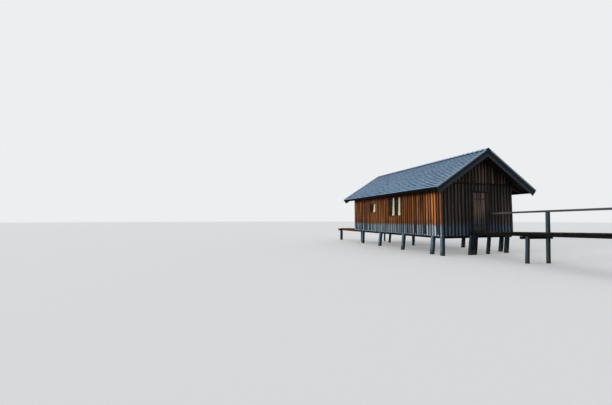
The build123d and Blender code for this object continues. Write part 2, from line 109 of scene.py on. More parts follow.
def uneven(shares, *patterns):
    # The same, with each pattern moved to rise and fall round 0.
    return blend(shares, *(pattern - 0.5 for pattern in patterns))


class Wire:
    # A node's output that does sums: plain numbers by Math nodes, vectors by Vector Math.
    def __init__(self, graph, socket):
        self.graph = graph
        self.socket = socket
        self.vector = socket.type in ("VECTOR", "RGBA")

    def work(self, operation, left, right):
        wide = any(isinstance(value, tuple) or getattr(value, "vector", False) for value in (left, right))
        kind = "VectorMath" if wide else "Math"
        return self.graph.node(kind, {"operation": operation}, {0: left, 1: right})

    def __add__(self, other):
        return self.work("ADD", self, other)

    def __radd__(self, other):
        return self.work("ADD", other, self)

    def __sub__(self, other):
        return self.work("SUBTRACT", self, other)

    def __rsub__(self, other):
        return self.work("SUBTRACT", other, self)

    def __mul__(self, other):
        return self.work("MULTIPLY", self, other)

    def __rmul__(self, other):
        return self.work("MULTIPLY", other, self)


class Graph:
    # A node tree, filled node by node.
    def __init__(self, tree):
        self.tree = tree

    def feed(self, socket, value):
        if isinstance(value, Wire):
            self.tree.links.new(value.socket, socket)
        elif socket.type == "RGBA":
            socket.default_value = (*value[:3], 1)
        elif socket.type == "VECTOR" and not isinstance(value, tuple):
            socket.default_value = (value, value, value)
        else:
            socket.default_value = value

    def node(self, kind, settings=None, sockets=None, out=0):
        made = self.tree.nodes.new("ShaderNode" + kind)
        for key, value in (settings or {}).items():
            setattr(made, key, value)
        for key, value in (sockets or {}).items():
            self.feed(made.inputs[key], value)
        return Wire(self, made.outputs[out])

    def place(self):
        return self.node("TexCoord", out="Object")

    def attribute(self, name):
        return self.node("Attribute", {"attribute_name": name}, out="Fac")

    def part(self, vector, axis):
        return self.node("SeparateXYZ", {}, {0: vector}, out=axis)

    def absolute(self, value):
        return self.node("Math", {"operation": "ABSOLUTE"}, {0: value})

    def mirrored(self, place):
        # The same on the left and the right of the ridge.
        across, lengthways, height = (self.part(place, axis) for axis in range(3))
        return self.node("CombineXYZ", {}, {0: self.absolute(across), 1: lengthways, 2: height})

    def turned(self, place, degrees):
        turn = tuple(math.radians(angle) for angle in degrees)
        return self.node("Mapping", {}, {"Vector": place, "Rotation": turn})

    def facing(self, axis):
        # How far a face looks along an axis: 1 for straight along it, -1 for straight against it.
        return self.part(self.node("NewGeometry", out="True Normal"), axis)

    def noise(self, vector, scale, detail, rough):
        sockets = {"Vector": vector, "Scale": scale, "Detail": detail, "Roughness": rough}
        return self.node("TexNoise", {}, sockets)

    def step(self, value, low, high):
        # Rises softly from 0 at low to 1 at high.
        return self.node("MapRange", {"interpolation_type": "SMOOTHSTEP"}, {0: value, 1: low, 2: high})

    def mix(self, first, second, factor):
        return self.node("Mix", {"data_type": "RGBA"}, {0: factor, 6: first, 7: second}, out=2)


class Look(Graph):
    # One material: a Principled shader and the nodes that feed it.
    def __init__(self, name, **constants):
        self.material = bpy.data.materials.new(name)
        self.material.use_nodes = True
        super().__init__(self.material.node_tree)
        self.shader = self.tree.nodes["Principled BSDF"]
        for socket, value in constants.items():
            self.feed(self.shader.inputs[socket.replace("_", " ")], value)

    def finish(self, colour, roughness, height=None, distance=0.002, strength=1.0):
        self.feed(self.shader.inputs["Base Color"], colour)
        self.feed(self.shader.inputs["Roughness"], roughness)
        if height is not None:
            bump = self.node("Bump", {}, {"Strength": strength, "Distance": distance, "Height": height})
            self.feed(self.shader.inputs["Normal"], bump)
        return self.material


# how the patterns of every timber are drawn: (scale, detail, roughness, stretch along the grain).
# The scales of fibres, streaks, hairs and cracks are multiples of the wood's own fibre.
timber = {
    "sway": (2.2, 2, 0.5, 0.35),
    "patches": (1.7, 4, 0.6, 0.3),
    "fibres": (1.0, 4, 0.6, 1.0),
    "streaks": (0.28, 3, 0.55, 1.0),
    "hairs": (3.4, 2, 0.5, 0.4),
    "cracks": (0.9, 2, 0.45, 0.55),
    "moss": (2.6, 4, 0.65, 1.0),
    "boardShift": (3.7, 5.3, 7.1),  # moves the patterns from board to board
    "swayReach": 0.06,
    "streakFibres": 0.5,  # how much the fibres show in the streaks
    # where a pattern turns into its colour, and how far
    "lightFrom": (0.30, 0.70),
    "midFrom": (0.42, 0.66),
    "midShare": 0.55,
    "greyUneven": (0.35, 0.3),  # by the board's tone and by the hairs
    "greyFrom": (0.46, 0.72),
    "knotScale": 5.2,
    "knotStretch": 0.42,
    "knotSize": (0.045, 0.10),
    "knotShade": 0.35,
    "crackFrom": (0.66, 0.74),
    "crackShade": 0.25,
    "hairFrom": (0.35, 0.75),
    "hairShare": 0.6,
    "hairShade": 0.72,
    "footEdge": (1.0, 0.8, 0.6),  # how far streaks, fibres and the board's tone move the foot's edge
    "footShares": (0.5, 0.3, 0.3),  # of streaks, hairs and tone in its colour
    "footFrom": (0.40, 0.66),
    "rimRise": (-0.10, 0.04),  # heights over the foot's top between which the dark rim begins
    "rimFall": 0.38,
    "rimShade": 0.35,
    "tipSoft": 0.02,
    "tipShare": 0.7,
    "mossFrom": (0.50, 0.68),
    "mossShare": 0.5,
    "seamSoft": (-0.002, 0.004),
    "seamShare": 0.6,
    "headUneven": 0.2,
    "sideFrom": (0.55, 0.9),
    "smoothFibres": 0.5,
    "reliefShares": (0.5, 0.35, -0.8, -0.3),  # of fibres, hairs, cracks and knots
    "bump": 0.7,
}

# a wood's own settings, where it doesn't say otherwise
plainWood = {
    "grain": 2,  # the axis that the grain runs along
    "turn": (0, 0, 0),
    "mirrored": False,
    "fibre": 34,
    "pull": 0.035,  # how far the fibres are drawn out along the grain
    "spread": 0.5,  # how far boards differ in brightness
    "grey": None,
    "greyShare": 0.35,
    "knots": 0.6,
    "crack": 0.7,
    "foot": None,
    "steps": None,
    "head": None,
    "fades": (),
    "sides": None,
    "rough": (0.72, 0.95),
    "relief": 0.004,
    "specular": 0.25,
}


class Timber(Look):
    # Weathered wood: the patterns that mix its colours, and each kind of weathering.
    def __init__(self, name, use):
        super().__init__(name, Specular_IOR_Level=use["specular"])
        self.use = use
        place = self.place()
        self.tone = self.attribute("tone")
        self.height = self.part(place, 2)
        if use["mirrored"]:
            place = self.mirrored(place)
        if any(use["turn"]):
            place = self.turned(place, use["turn"])
        self.slope = place
        self.spot = place + self.tone * timber["boardShift"]
        along = self.stretched(self.spot, use["pull"])
        sway = self.pattern("sway", self.spot)
        self.fibres = self.pattern("fibres", along + sway * timber["swayReach"], use["fibre"])
        self.streaks = self.pattern("streaks", along, use["fibre"])
        self.hairs = self.pattern("hairs", along, use["fibre"])
        cracks = self.pattern("cracks", along, use["fibre"])
        self.cracks = self.step(cracks, *timber["crackFrom"]) * use["crack"]
        cells = self.node("TexVoronoi", {"feature": "F1"}, {
            "Vector": self.stretched(self.spot, timber["knotStretch"]), "Scale": timber["knotScale"]})
        self.knots = (1.0 - self.step(cells, *timber["knotSize"])) * use["knots"]

    def stretched(self, vector, share):
        return vector * tuple(share if axis == self.use["grain"] else 1.0 for axis in range(3))

    def pattern(self, kind, vector, fibre=1.0):
        scale, detail, rough, stretch = timber[kind]
        if stretch != 1.0:
            vector = self.stretched(vector, stretch)
        return self.noise(vector, scale * fibre, detail, rough)

    def bare(self):
        # The wood itself: streaks, boards lighter and darker, grey patches, knots, cracks and fine hairs.
        use = self.use
        streaks = self.streaks + (self.fibres - 0.5) * timber["streakFibres"]
        colour = self.mix(use["dark"], use["light"], self.step(streaks, *timber["lightFrom"]))
        fibres = self.step(self.fibres, *timber["midFrom"]) * timber["midShare"]
        colour = self.mix(colour, use["mid"], fibres)
        colour = colour * (1.0 + (self.tone - 0.5) * use["spread"])
        if use["grey"]:
            patches = self.pattern("patches", self.spot)
            patches = patches + uneven(timber["greyUneven"], self.tone, self.hairs)
            patches = self.step(patches, *timber["greyFrom"]) * use["greyShare"]
            colour = self.mix(colour, use["grey"], patches)
        colour = self.mix(colour, darker(use["dark"], timber["knotShade"]), self.knots)
        colour = self.mix(colour, darker(use["dark"], timber["crackShade"]), self.cracks)
        hairs = self.step(self.hairs, *timber["hairFrom"]) * timber["hairShare"]
        return self.mix(colour, colour * timber["hairShade"], hairs)

    def addFoot(self, colour, foot):
        # Bleached up to a ragged line, with a dark rim over it and a pale tip below.
        top = foot["top"]
        ragged = uneven(timber["footEdge"], self.streaks, self.fibres, self.tone)
        edge = self.height + ragged * foot["uneven"]
        if "rim" in foot:
            start, full = timber["rimRise"]
            rim = self.step(edge, top + start, top + full)
            rim = rim * (1.0 - self.step(edge, top, top + timber["rimFall"])) * foot["rim"]
            colour = self.mix(colour, colour * timber["rimShade"], rim)
        pale = blend(timber["footShares"], self.streaks, self.hairs, self.tone)
        pale = self.mix(foot["dark"], foot["light"], self.step(pale, *timber["footFrom"]))
        wet = 1.0 - self.step(edge, top - foot["soft"], top + foot["soft"])
        colour = self.mix(colour, pale, wet * foot["share"])
        if "tip" in foot:
            tip = 1.0 - self.step(self.height, foot["tip"] - timber["tipSoft"], foot["tip"])
            colour = self.mix(colour, foot["light"], tip * timber["tipShare"])
        return colour

    def addSteps(self, colour, steps):
        # Barge boards in two steps: moss, and another colour below the seam.
        moss = self.step(self.pattern("moss", self.slope), *timber["mossFrom"]) * timber["mossShare"]
        colour = self.mix(colour, steps["moss"], moss)
        deep = steps["top"] - self.part(self.slope, 2)
        start, full = timber["seamSoft"]
        below = self.step(deep, steps["seam"] + start, steps["seam"] + full) * timber["seamShare"]
        return self.mix(colour, steps["colour"], below)

    def addHead(self, colour, head):
        # Painted shade under the eave, under the roof and under the drip of the gable boards.
        edge = self.height + (self.fibres - 0.5) * timber["headUneven"]
        return self.mix(colour, head["colour"], self.step(edge, head["start"], head["end"]) * head["share"])

    def addFade(self, colour, shade, start, end):
        # A change of shade along the length of the hut.
        return self.mix(colour, colour * shade, self.step(self.part(self.place(), 1), start, end))

    def addSides(self, colour, sides):
        # The narrow sides of boards, which lie in each other's shade.
        if "axis" in sides:
            side = self.step(self.absolute(self.facing(sides["axis"])), *timber["sideFrom"])
        else:
            side = self.attribute("side")
        return self.mix(colour, colour * sides["shade"], side)


def woodLook(name, settings):
    wood = Timber(name, {**plainWood, **settings})
    use = wood.use
    colour = wood.bare()
    for part, add in (("foot", wood.addFoot), ("steps", wood.addSteps), ("head", wood.addHead)):
        if use[part]:
            colour = add(colour, use[part])
    for shade, start, end in use["fades"]:
        colour = wood.addFade(colour, shade, start, end)
    if use["sides"]:
        colour = wood.addSides(colour, use["sides"])
    rough = between(use["rough"], 1.0 - wood.fibres * timber["smoothFibres"])
    relief = blend(timber["reliefShares"], wood.fibres, wood.hairs, wood.cracks, wood.knots)
    return wood.finish(colour, rough, relief, use["relief"], timber["bump"])


# what the woods take from the frame
wallLow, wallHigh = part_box("left_wall")
wallFoot, wallHead = wallLow.z, wallHigh.z
wallNear, wallFar = wallLow.y, wallHigh.y
gableJoint, gableTop = (corner.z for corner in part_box("front_gable"))
roofPitch = 32.4  # degrees
jettySkew = 11  # degrees
# where the roof's surface lies once the slope is turned level
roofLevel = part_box("roof_cover_left")[1].z * math.cos(math.radians(roofPitch))

# side cover boards: brown wood, its bright orange partly a painted warm sunset light
sideWood = {
    "dark": rgb(74, 34, 11), "mid": rgb(152, 82, 34), "light": rgb(230, 146, 74),
    "grey": rgb(116, 84, 60), "spread": 1.3, "crack": 0.6,
    "sides": {"axis": 1, "shade": 0.04},
    # (shade, where it starts, where it is full) along the hut
    "fades": ((0.56, wallNear + 0.2, wallNear + 2.0), (1.3, wallNear + 5.5, wallNear + 8.0)),
    # the bleached foot, its blue-grey partly a painted blue twilight light
    "foot": {"top": wallFoot + 0.56, "soft": 0.10, "uneven": 0.18, "share": 0.93,
             "dark": rgb(26, 38, 48), "light": rgb(176, 202, 218), "rim": 0.45, "tip": wallFoot + 0.07},
    "head": {"start": wallHead - 0.60, "end": wallHead - 0.20, "share": 0.2, "colour": rgb(70, 38, 20)},
}
# end boards: dark grey-brown wood, darkened further by painted shade
gableWood = {
    "dark": rgb(30, 25, 22), "mid": rgb(64, 56, 52), "light": rgb(114, 102, 94),
    "grey": rgb(74, 72, 76), "greyShare": 0.6, "spread": 1.8, "crack": 0.6,
    "sides": {"axis": 0, "shade": 0.35},
    "foot": {"top": wallFoot + 0.58, "soft": 0.24, "uneven": 0.3, "share": 0.88,
             "dark": rgb(26, 38, 52), "light": rgb(100, 124, 148), "tip": wallFoot + 0.07},
}
frameWood = {
    "dark": rgb(58, 40, 28), "mid": rgb(96, 68, 46), "light": rgb(130, 98, 68), "grey": rgb(96, 90, 84),
}
# sills: near black, a painted shade of the sills under the wall
sillWood = {
    "dark": rgb(14, 14, 14), "mid": rgb(28, 28, 28), "light": rgb(50, 50, 49), "grey": rgb(46, 52, 58),
    "specular": 0.1,
}
platformWood = {
    "dark": rgb(58, 28, 12), "mid": rgb(104, 54, 24), "light": rgb(150, 88, 44), "grey": rgb(96, 74, 54),
    "spread": 0.8,
}
slopeWood = {"grain": 0, "mirrored": True, "turn": (0, -roofPitch, 0)}
woods = {
    "side_wood": sideWood,
    # painted shade: the wall boards behind the cover boards, darker than the cover boards because they lie
    # in their shade
    "side_back_shade": {
        **sideWood, "dark": rgb(24, 13, 7), "mid": rgb(42, 24, 13), "light": rgb(66, 40, 22),
        "grey": rgb(40, 32, 26), "sides": None, "fades": (),
        "foot": {"top": wallFoot + 0.50, "soft": 0.12, "uneven": 0.30, "share": 0.85,
                 "dark": rgb(20, 25, 30), "light": rgb(66, 77, 86)}},
    "gable_wood": {
        **gableWood,
        # painted shadow: a dark line under the drip of the gable boards
        "head": {"start": gableJoint - 0.16, "end": gableJoint - 0.04, "share": 0.9,
                 "colour": rgb(7, 6, 5)}},
    "gable_upper": {
        **gableWood, "mid": rgb(88, 68, 57), "light": rgb(158, 126, 104), "spread": 1.9,
        "head": {"start": gableTop - 1.0, "end": gableTop - 0.25, "share": 0.7,
                 "colour": rgb(12, 9, 8)}},
    # painted shade: the boards behind the cover boards and behind the door planks, darker because they lie
    # in shade
    "gable_back_shade": {
        **gableWood, "dark": rgb(13, 11, 10), "mid": rgb(23, 19, 17), "light": rgb(38, 32, 28),
        "grey": rgb(28, 28, 29), "sides": None,
        "foot": {"top": wallFoot + 0.55, "soft": 0.2, "uneven": 0.2, "share": 0.7,
                 "dark": rgb(20, 27, 36), "light": rgb(60, 73, 88)}},
    "door_wood": {
        **gableWood, "dark": rgb(10, 8, 7), "mid": rgb(50, 43, 39), "light": rgb(176, 154, 138),
        "spread": 1.6, "sides": {"shade": 0.04},
        "foot": {**gableWood["foot"], "top": wallFoot + 1.05, "soft": 0.5, "dark": rgb(24, 27, 32),
                 "light": rgb(62, 68, 78)}},
    "door_frame": {**gableWood, "mid": rgb(50, 42, 38), "light": rgb(80, 68, 62), "sides": None},
    "frame_upright": frameWood,
    "frame_across": {**frameWood, "grain": 0},
    "frame_along": {**frameWood, "grain": 1},
    "plate_wood": {
        "grain": 1, "dark": rgb(14, 11, 9), "mid": rgb(26, 20, 16), "light": rgb(42, 34, 27),
        "grey": rgb(36, 34, 32)},
    # brown where the sill runs on behind the hut, under the platform
    "sill_wood": {**sillWood, "grain": 1, "fades": (((8.0, 3.0, 1.0), wallFar, wallFar + 0.04),)},
    "sill_across": {**sillWood, "grain": 0},
    "rail_wood": {
        **sillWood, "grain": 1, "turn": (0, 0, jettySkew), "dark": rgb(36, 38, 40), "mid": rgb(62, 65, 68),
        "light": rgb(104, 108, 112), "grey": rgb(84, 92, 100)},
    "rafter_wood": {
        **slopeWood, "dark": rgb(22, 16, 11), "mid": rgb(40, 29, 20), "light": rgb(62, 46, 33),
        "grey": rgb(46, 42, 38)},
    "floor_wood": {
        "grain": 1, "dark": rgb(72, 56, 42), "mid": rgb(112, 92, 72), "light": rgb(150, 128, 102),
        "grey": rgb(120, 114, 106)},
    # painted shade: the roof boards near black, as in shadow under the shingles at the eave
    "roof_board": {
        "grain": 1, "dark": rgb(11, 9, 7), "mid": rgb(20, 16, 12), "light": rgb(36, 28, 22),
        "grey": rgb(27, 26, 24)},
    "barge_wood": {
        **slopeWood, "dark": rgb(14, 22, 26), "mid": rgb(30, 40, 44), "light": rgb(52, 64, 70),
        "grey": rgb(62, 80, 92), "greyShare": 0.5, "knots": 0.3,
        "steps": {"top": roofLevel, "seam": 0.190, "colour": rgb(82, 88, 104), "moss": rgb(38, 62, 48)}},
    # verge caps: pale flashing, its blue-white partly a painted reflection of the sky
    "verge_wood": {
        **slopeWood, "dark": rgb(140, 172, 206), "mid": rgb(180, 208, 238), "light": rgb(222, 238, 255),
        "knots": 0.1, "crack": 0.2},
    # painted shade: the fascia near black, as the dark shadow line along the eave
    "fascia_wood": {
        "grain": 1, "dark": rgb(7, 8, 9), "mid": rgb(13, 14, 15), "light": rgb(24, 26, 28),
        "grey": rgb(30, 34, 38), "specular": 0.05},
    "window_wood": {
        "fibre": 60, "dark": rgb(48, 28, 16), "mid": rgb(84, 52, 30), "light": rgb(122, 82, 50),
        "grey": rgb(94, 80, 64), "knots": 0.1},
    "window_sill": {
        "grain": 1, "fibre": 60, "dark": rgb(60, 38, 22), "mid": rgb(98, 66, 40),
        "light": rgb(138, 100, 66), "grey": rgb(110, 98, 84), "knots": 0.1},
    "jetty_wood": {
        "grain": 1, "turn": (0, 0, jettySkew), "dark": rgb(10, 10, 9), "mid": rgb(20, 20, 18),
        "light": rgb(38, 37, 34), "grey": rgb(36, 40, 42), "spread": 0.8, "specular": 0.12},
    "deck_wood": {
        "grain": 0, "turn": (0, 0, jettySkew), "dark": rgb(14, 14, 12), "mid": rgb(28, 27, 23),
        "light": rgb(54, 50, 42), "grey": rgb(48, 52, 52), "spread": 1.2, "specular": 0.12},
    "platform_wood": {**platformWood, "grain": 0},
    # painted shade: the platform beam darkened as in shadow under the deck's edge
    "platform_side": {
        **platformWood, "grain": 1, "dark": rgb(18, 8, 4), "mid": rgb(34, 16, 8), "light": rgb(58, 30, 15)},
}
looks = {name: woodLook(name, settings) for name, settings in woods.items()}
print("wood finishes:", len(looks))


# piles: blue-grey, with a painted highlight on the side that faces the key light, a green-black wet band
# over the foot
pileFinish = {
    "fibres": (30, 4, 0.6),  # patterns as (scale, detail, roughness)
    "streaks": (9, 3, 0.6),
    "patches": (3.2, 4, 0.6),
    "cracks": (26, 2, 0.4),
    "weed": (24, 4, 0.7),
    "stretch": 0.05,
    "patchStretch": 0.4,
    "crackStretch": 0.03,
    "grainShares": (0.6, 0.4),  # of streaks and fibres
    "lightFrom": (0.40, 0.66),
    "dull": 0.5,
    "dullFrom": (0.50, 0.66),
    "dullShare": 0.6,
    "litSideUneven": 0.5,
    "litSideFrom": (0.62, 0.95),
    "litSideShare": 0.7,
    "crack": rgb(14, 15, 16),
    "crackFrom": (0.63, 0.70),
    "crackShare": 0.85,
    "damp": (0.10, 0.30),  # the heights at which the wet band begins to fade and ends
    "dampUneven": (0.22, 0.12),  # by patches and by streaks
    "dampShare": 0.92,
    "dampGloss": 0.35,
    "weedDark": rgb(16, 24, 22),
    "weedLight": rgb(46, 58, 44),
    "weedFrom": (0.42, 0.66),
    "rough": 0.9,
    "relief": 0.006,
    "reliefShares": (0.6, -1.0, 0.3),  # of fibres, cracks and patches
    "bump": 0.8,
}


def pileLook(name, dark, light, litSideColour):
    use = pileFinish
    look = Look(name, Specular_IOR_Level=0.3)
    place = look.place()
    along = place * (1.0, 1.0, use["stretch"])
    fibres = look.noise(along, *use["fibres"])
    streaks = look.noise(along, *use["streaks"])
    patches = look.noise(place * (1.0, 1.0, use["patchStretch"]), *use["patches"])
    grain = blend(use["grainShares"], streaks, fibres)
    colour = look.mix(dark, light, look.step(grain, *use["lightFrom"]))
    dull = look.step(patches, *use["dullFrom"]) * use["dullShare"]
    colour = look.mix(colour, darker(light, use["dull"]), dull)
    # painted highlight: faces that look towards the key light are lightened
    paintedLitSide = look.step((streaks - 0.5) * use["litSideUneven"] - look.facing(0), *use["litSideFrom"])
    colour = look.mix(colour, litSideColour, paintedLitSide * use["litSideShare"])
    cracks = look.noise(place * (1.0, 1.0, use["crackStretch"]), *use["cracks"])
    cracks = look.step(cracks, *use["crackFrom"])
    colour = look.mix(colour, use["crack"], cracks * use["crackShare"])
    tide = look.part(place, 2) + uneven(use["dampUneven"], patches, streaks)
    damp = 1.0 - look.step(tide, *use["damp"])
    weed = look.step(look.noise(place, *use["weed"]), *use["weedFrom"])
    weed = look.mix(use["weedDark"], use["weedLight"], weed)
    colour = look.mix(colour, weed, damp * use["dampShare"])
    rough = use["rough"] - damp * use["dampGloss"]
    relief = blend(use["reliefShares"], fibres, cracks, patches)
    return look.finish(colour, rough, relief, use["relief"], use["bump"])


# silvered shingles: every one its own tone, with painted shade where the next course's butt lies over it
shingleFinish = {
    "buttShadow": rgb(9, 17, 30),
    # the exposed silver-grey, its blue partly a painted twilight sky light
    "bare": rgb(156, 196, 232),
    # painted shade on the butt ends and sides
    "edge": rgb(6, 8, 11),
    "moss": rgb(46, 54, 46),
    "bareFrom": (0.66, 0.78),  # shares of the way down a shingle
    "bareUneven": (0.03, 0.08),  # by the shingle's tone and by the grain
    "tones": (0.82, 1.12),
    "shift": (2.9, 4.7, 1.3),
    "grain": (46, 4, 0.6),
    "stretch": 0.06,
    "patches": (0.9, 4, 0.6),
    "patchFrom": (0.50, 0.66),
    "patchShade": 0.7,
    "patchShare": 0.4,
    "mossPattern": (7, 5, 0.7),
    "mossFrom": (0.62, 0.72),
    "mossShare": 0.3,
    "topFrom": (0.05, 0.45),  # how far a face looks up where the edge's colour ends
    "rough": (0.62, 0.87),
    "relief": 0.004,
    "bump": 0.7,
}


def shingleLook():
    use = shingleFinish
    look = Look("shingles", Specular_IOR_Level=0.35)
    place = look.place()
    tone = look.attribute("tone")
    slope = look.turned(look.mirrored(place), (0, -roofPitch, 0)) + tone * use["shift"]
    grain = look.noise(slope * (use["stretch"], 1.0, 1.0), *use["grain"])
    reach = look.attribute("reach") + uneven(use["bareUneven"], tone, grain)
    # painted shade: dark near the top of each shingle's exposed part, under the next course's butt
    colour = look.mix(use["buttShadow"], use["bare"], look.step(reach, *use["bareFrom"]))
    colour = colour * between(use["tones"], tone)
    patches = look.step(look.noise(place, *use["patches"]), *use["patchFrom"]) * use["patchShare"]
    colour = look.mix(colour, colour * use["patchShade"], patches)
    moss = look.step(look.noise(place, *use["mossPattern"]), *use["mossFrom"]) * use["mossShare"]
    colour = look.mix(colour, use["moss"], moss)
    # painted shade: faces that don't look up, the butt ends and sides, turn near black
    colour = look.mix(use["edge"], colour, look.step(look.facing(2), *use["topFrom"]))
    return look.finish(colour, between(use["rough"], grain), grain, use["relief"], use["bump"])


ironFinish = {
    "black": rgb(16, 15, 15),
    "rust": rgb(58, 32, 20),
    "rustPattern": (38, 5, 0.65),
    "rustFrom": (0.42, 0.62),
    "metal": (0.75, 0.05),  # from bare to rusted
    "rough": (0.45, 0.85),
    "grain": (90, 3, 0.6),
    "relief": 0.001,
    "bump": 0.6,
}


def ironLook():
    use = ironFinish
    look = Look("iron", Specular_IOR_Level=0.5)
    place = look.place()
    rust = look.step(look.noise(place, *use["rustPattern"]), *use["rustFrom"])
    look.feed(look.shader.inputs["Metallic"], between(use["metal"], rust))
    colour = look.mix(use["black"], use["rust"], rust)
    grain = look.noise(place, *use["grain"])
    return look.finish(colour, between(use["rough"], rust), grain, use["relief"], use["bump"])


# thin old panes: a dark green body that lets most of the view through, and a film of dust
glassFinish = {
    "body": rgb(20, 26, 22),
    "dust": rgb(72, 74, 66),
    "film": (2.2, 2, 0.5),
    "filmFrom": (0.35, 0.75),
    "solid": (0.10, 0.15),  # from clean to dusty
    "rough": (0.04, 0.10),
}


def glassLook():
    use = glassFinish
    look = Look("glass", Specular_IOR_Level=0.6)
    film = look.step(look.noise(look.place(), *use["film"]), *use["filmFrom"])
    look.feed(look.shader.inputs["Alpha"], between(use["solid"], film))
    return look.finish(look.mix(use["body"], use["dust"], film), between(use["rough"], film))


# a pale weave whose cream is partly a painted warm light, with a painted glow that brightens it behind the
# glass
curtainFinish = {
    "cloth": rgb(255, 236, 202),
    "stain": rgb(244, 208, 156),
    "thread": rgb(232, 200, 156),
    "threads": 140.0,
    "unevenThreads": 0.6,
    "stains": (4.0, 4, 0.6),
    "stainFrom": (0.40, 0.70),
    "stainShare": 0.6,
    "threadShare": 0.15,
    "rough": (0.9, 0.8),  # between the threads and on them
    "relief": 0.0006,
    "bump": 0.5,
}


def curtainLook():
    use = curtainFinish
    look = Look("curtain", Specular_IOR_Level=0.2, Sheen_Weight=0.2, Emission_Strength=0.1)
    place = look.place()
    threads = {"Vector": place, "Scale": use["threads"], "Distortion": use["unevenThreads"]}
    weft, warp = (look.node("TexWave", {"bands_direction": way}, threads) for way in "ZY")
    weave = weft * 0.5 + warp * 0.5
    stains = look.step(look.noise(place, *use["stains"]), *use["stainFrom"]) * use["stainShare"]
    colour = look.mix(use["cloth"], use["stain"], stains)
    colour = look.mix(colour, use["thread"], weave * use["threadShare"])
    # painted glow: the cloth's own colour is given as its glow too
    look.feed(look.shader.inputs["Emission Color"], colour)
    return look.finish(colour, between(use["rough"], weave), weave, use["relief"], use["bump"])


looks["pile"] = pileLook("pile_timber", rgb(12, 21, 27), rgb(54, 74, 88), rgb(108, 140, 160))
looks["inner_pile"] = pileLook("inner_pile_timber", rgb(8, 11, 13), rgb(32, 40, 45), rgb(62, 84, 94))
looks["shingles"] = shingleLook()
looks["iron"] = ironLook()
looks["glass"] = glassLook()
looks["curtain"] = curtainLook()
print("other finishes made")


# helpers for pieces
sawn = {
    "sharp": 30,  # degrees between faces, over which an edge is softened
    "onCut": 0.00001,  # how near a cut a point counts as on it
    "merge": 0.0002,
    "flat": 0.02,  # radians between faces that count as one
    "bends": 1.4,  # for each metre of a board
    "bendStep": 7,  # keeps the bends of a board's two directions apart
    "roundness": 0.003,
    "shaded": 0.3,  # how much of the roundness belongs to a board's narrow side
    "jointPlay": 0.08,  # how far a joint wanders, in board widths
}


def mergedCopy(node):
    bm = bmesh.new()
    bm.from_mesh(nodes[node].data)
    bmesh.ops.remove_doubles(bm, verts=bm.verts, dist=sawn["merge"])
    return bm


def islands(bm):
    # The vertices of each separate solid.
    left = set(bm.verts)
    groups = []
    while left:
        group = [left.pop()]
        for vert in group:
            for edge in vert.link_edges:
                other = edge.other_vert(vert)
                if other in left:
                    left.discard(other)
                    group.append(other)
        groups.append(group)
    return groups


def islandBoxes(node):
    # The (low, high) box of each separate solid in a CAD node.
    bm = mergedCopy(node)
    boxes = []
    for group in islands(bm):
        low = Vector(min(vert.co[axis] for vert in group) for axis in range(3))
        high = Vector(max(vert.co[axis] for vert in group) for axis in range(3))
        boxes.append((low, high))
    bm.free()
    return sorted(boxes, key=lambda pair: tuple(pair[0]))


def makePiece(name, bm, look, body="hut", stands=(), smooth=None):
    mesh = bpy.data.meshes.new(name)
    bm.to_mesh(mesh)
    bm.free()
    mesh.materials.append(looks[look])
    if smooth is not None:
        mesh.shade_smooth()
        mesh.set_sharp_from_angle(angle=math.radians(smooth))
    piece = bpy.data.objects.new(name, mesh)
    scene.collection.objects.link(piece)
    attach(piece, body)
    if stands:
        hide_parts(*stands)
    return piece


class Stack:
    # Collects many small shapes into one mesh, with a tone for each.
    def __init__(self, *layers):
        self.bm = bmesh.new()
        for layer in ("tone", *layers):
            self.bm.verts.layers.float.new(layer)
        self.scratch = bpy.data.meshes.new("scratch")

    def add(self, part, tone):
        layer = part.verts.layers.float.new("tone")
        for vert in part.verts:
            vert[layer] = tone
        part.to_mesh(self.scratch)
        part.free()
        self.bm.from_mesh(self.scratch)

    def piece(self, name, look, slotName, body="hut", stands=()):
        bpy.data.meshes.remove(self.scratch)
        return makePiece(name, self.bm, look, body, stands)


def soften(bm, width):
    # Takes the arris off every sharp edge.
    limit = math.radians(sawn["sharp"])
    sharp = [edge for edge in bm.edges if len(edge.link_faces) == 2 and edge.calc_face_angle(0) > limit]
    bmesh.ops.bevel(bm, geom=sharp, offset=width, offset_type="OFFSET", segments=1, profile=0.5,
                    affect="EDGES", material=-1, clamp_overlap=True)


def cutOff(bm, place, outwards):
    # Takes away what lies past a plane, and closes the cut.
    cut = bmesh.ops.bisect_plane(bm, geom=bm.verts[:] + bm.edges[:] + bm.faces[:], dist=sawn["onCut"],
                                 plane_co=place, plane_no=outwards, clear_outer=True)
    rim = [item for item in cut["geom_cut"] if isinstance(item, bmesh.types.BMEdge)]
    if rim:
        bmesh.ops.holes_fill(bm, edges=rim)


def board(low, high, axis, draws, rings, warp, roundness):
    # A sawn board between two corners, slightly bent along its length.
    part = bmesh.new()
    bmesh.ops.create_cube(part, size=1)
    size = [high[n] - low[n] for n in range(3)]
    bmesh.ops.scale(part, vec=size, verts=part.verts)
    bmesh.ops.translate(part, vec=[(high[n] + low[n]) / 2 for n in range(3)], verts=part.verts)
    lengthways = []
    for edge in part.edges:
        start, finish = (vert.co[axis] for vert in edge.verts)
        if abs(start - finish) > size[axis] / 2:
            lengthways.append(edge)
    bmesh.ops.subdivide_edges(part, edges=lengthways, cuts=rings, use_grid_fill=True)
    seed = draws.uniform(0, 90)
    for vert in part.verts:
        for other in range(3):
            if other != axis:
                spot = Vector((seed, vert.co[axis] * sawn["bends"], other * sawn["bendStep"]))
                vert.co[other] += noise.noise(spot) * warp
    soften(part, roundness)
    return part


def slicePart(source, direction, low, high):
    # What of a solid lies between two planes across a direction, closed at the cuts.
    part = source.copy()
    cutOff(part, direction * low, -direction)
    cutOff(part, direction * high, direction)
    bmesh.ops.dissolve_limit(part, angle_limit=sawn["flat"], verts=part.verts, edges=part.edges)
    return part


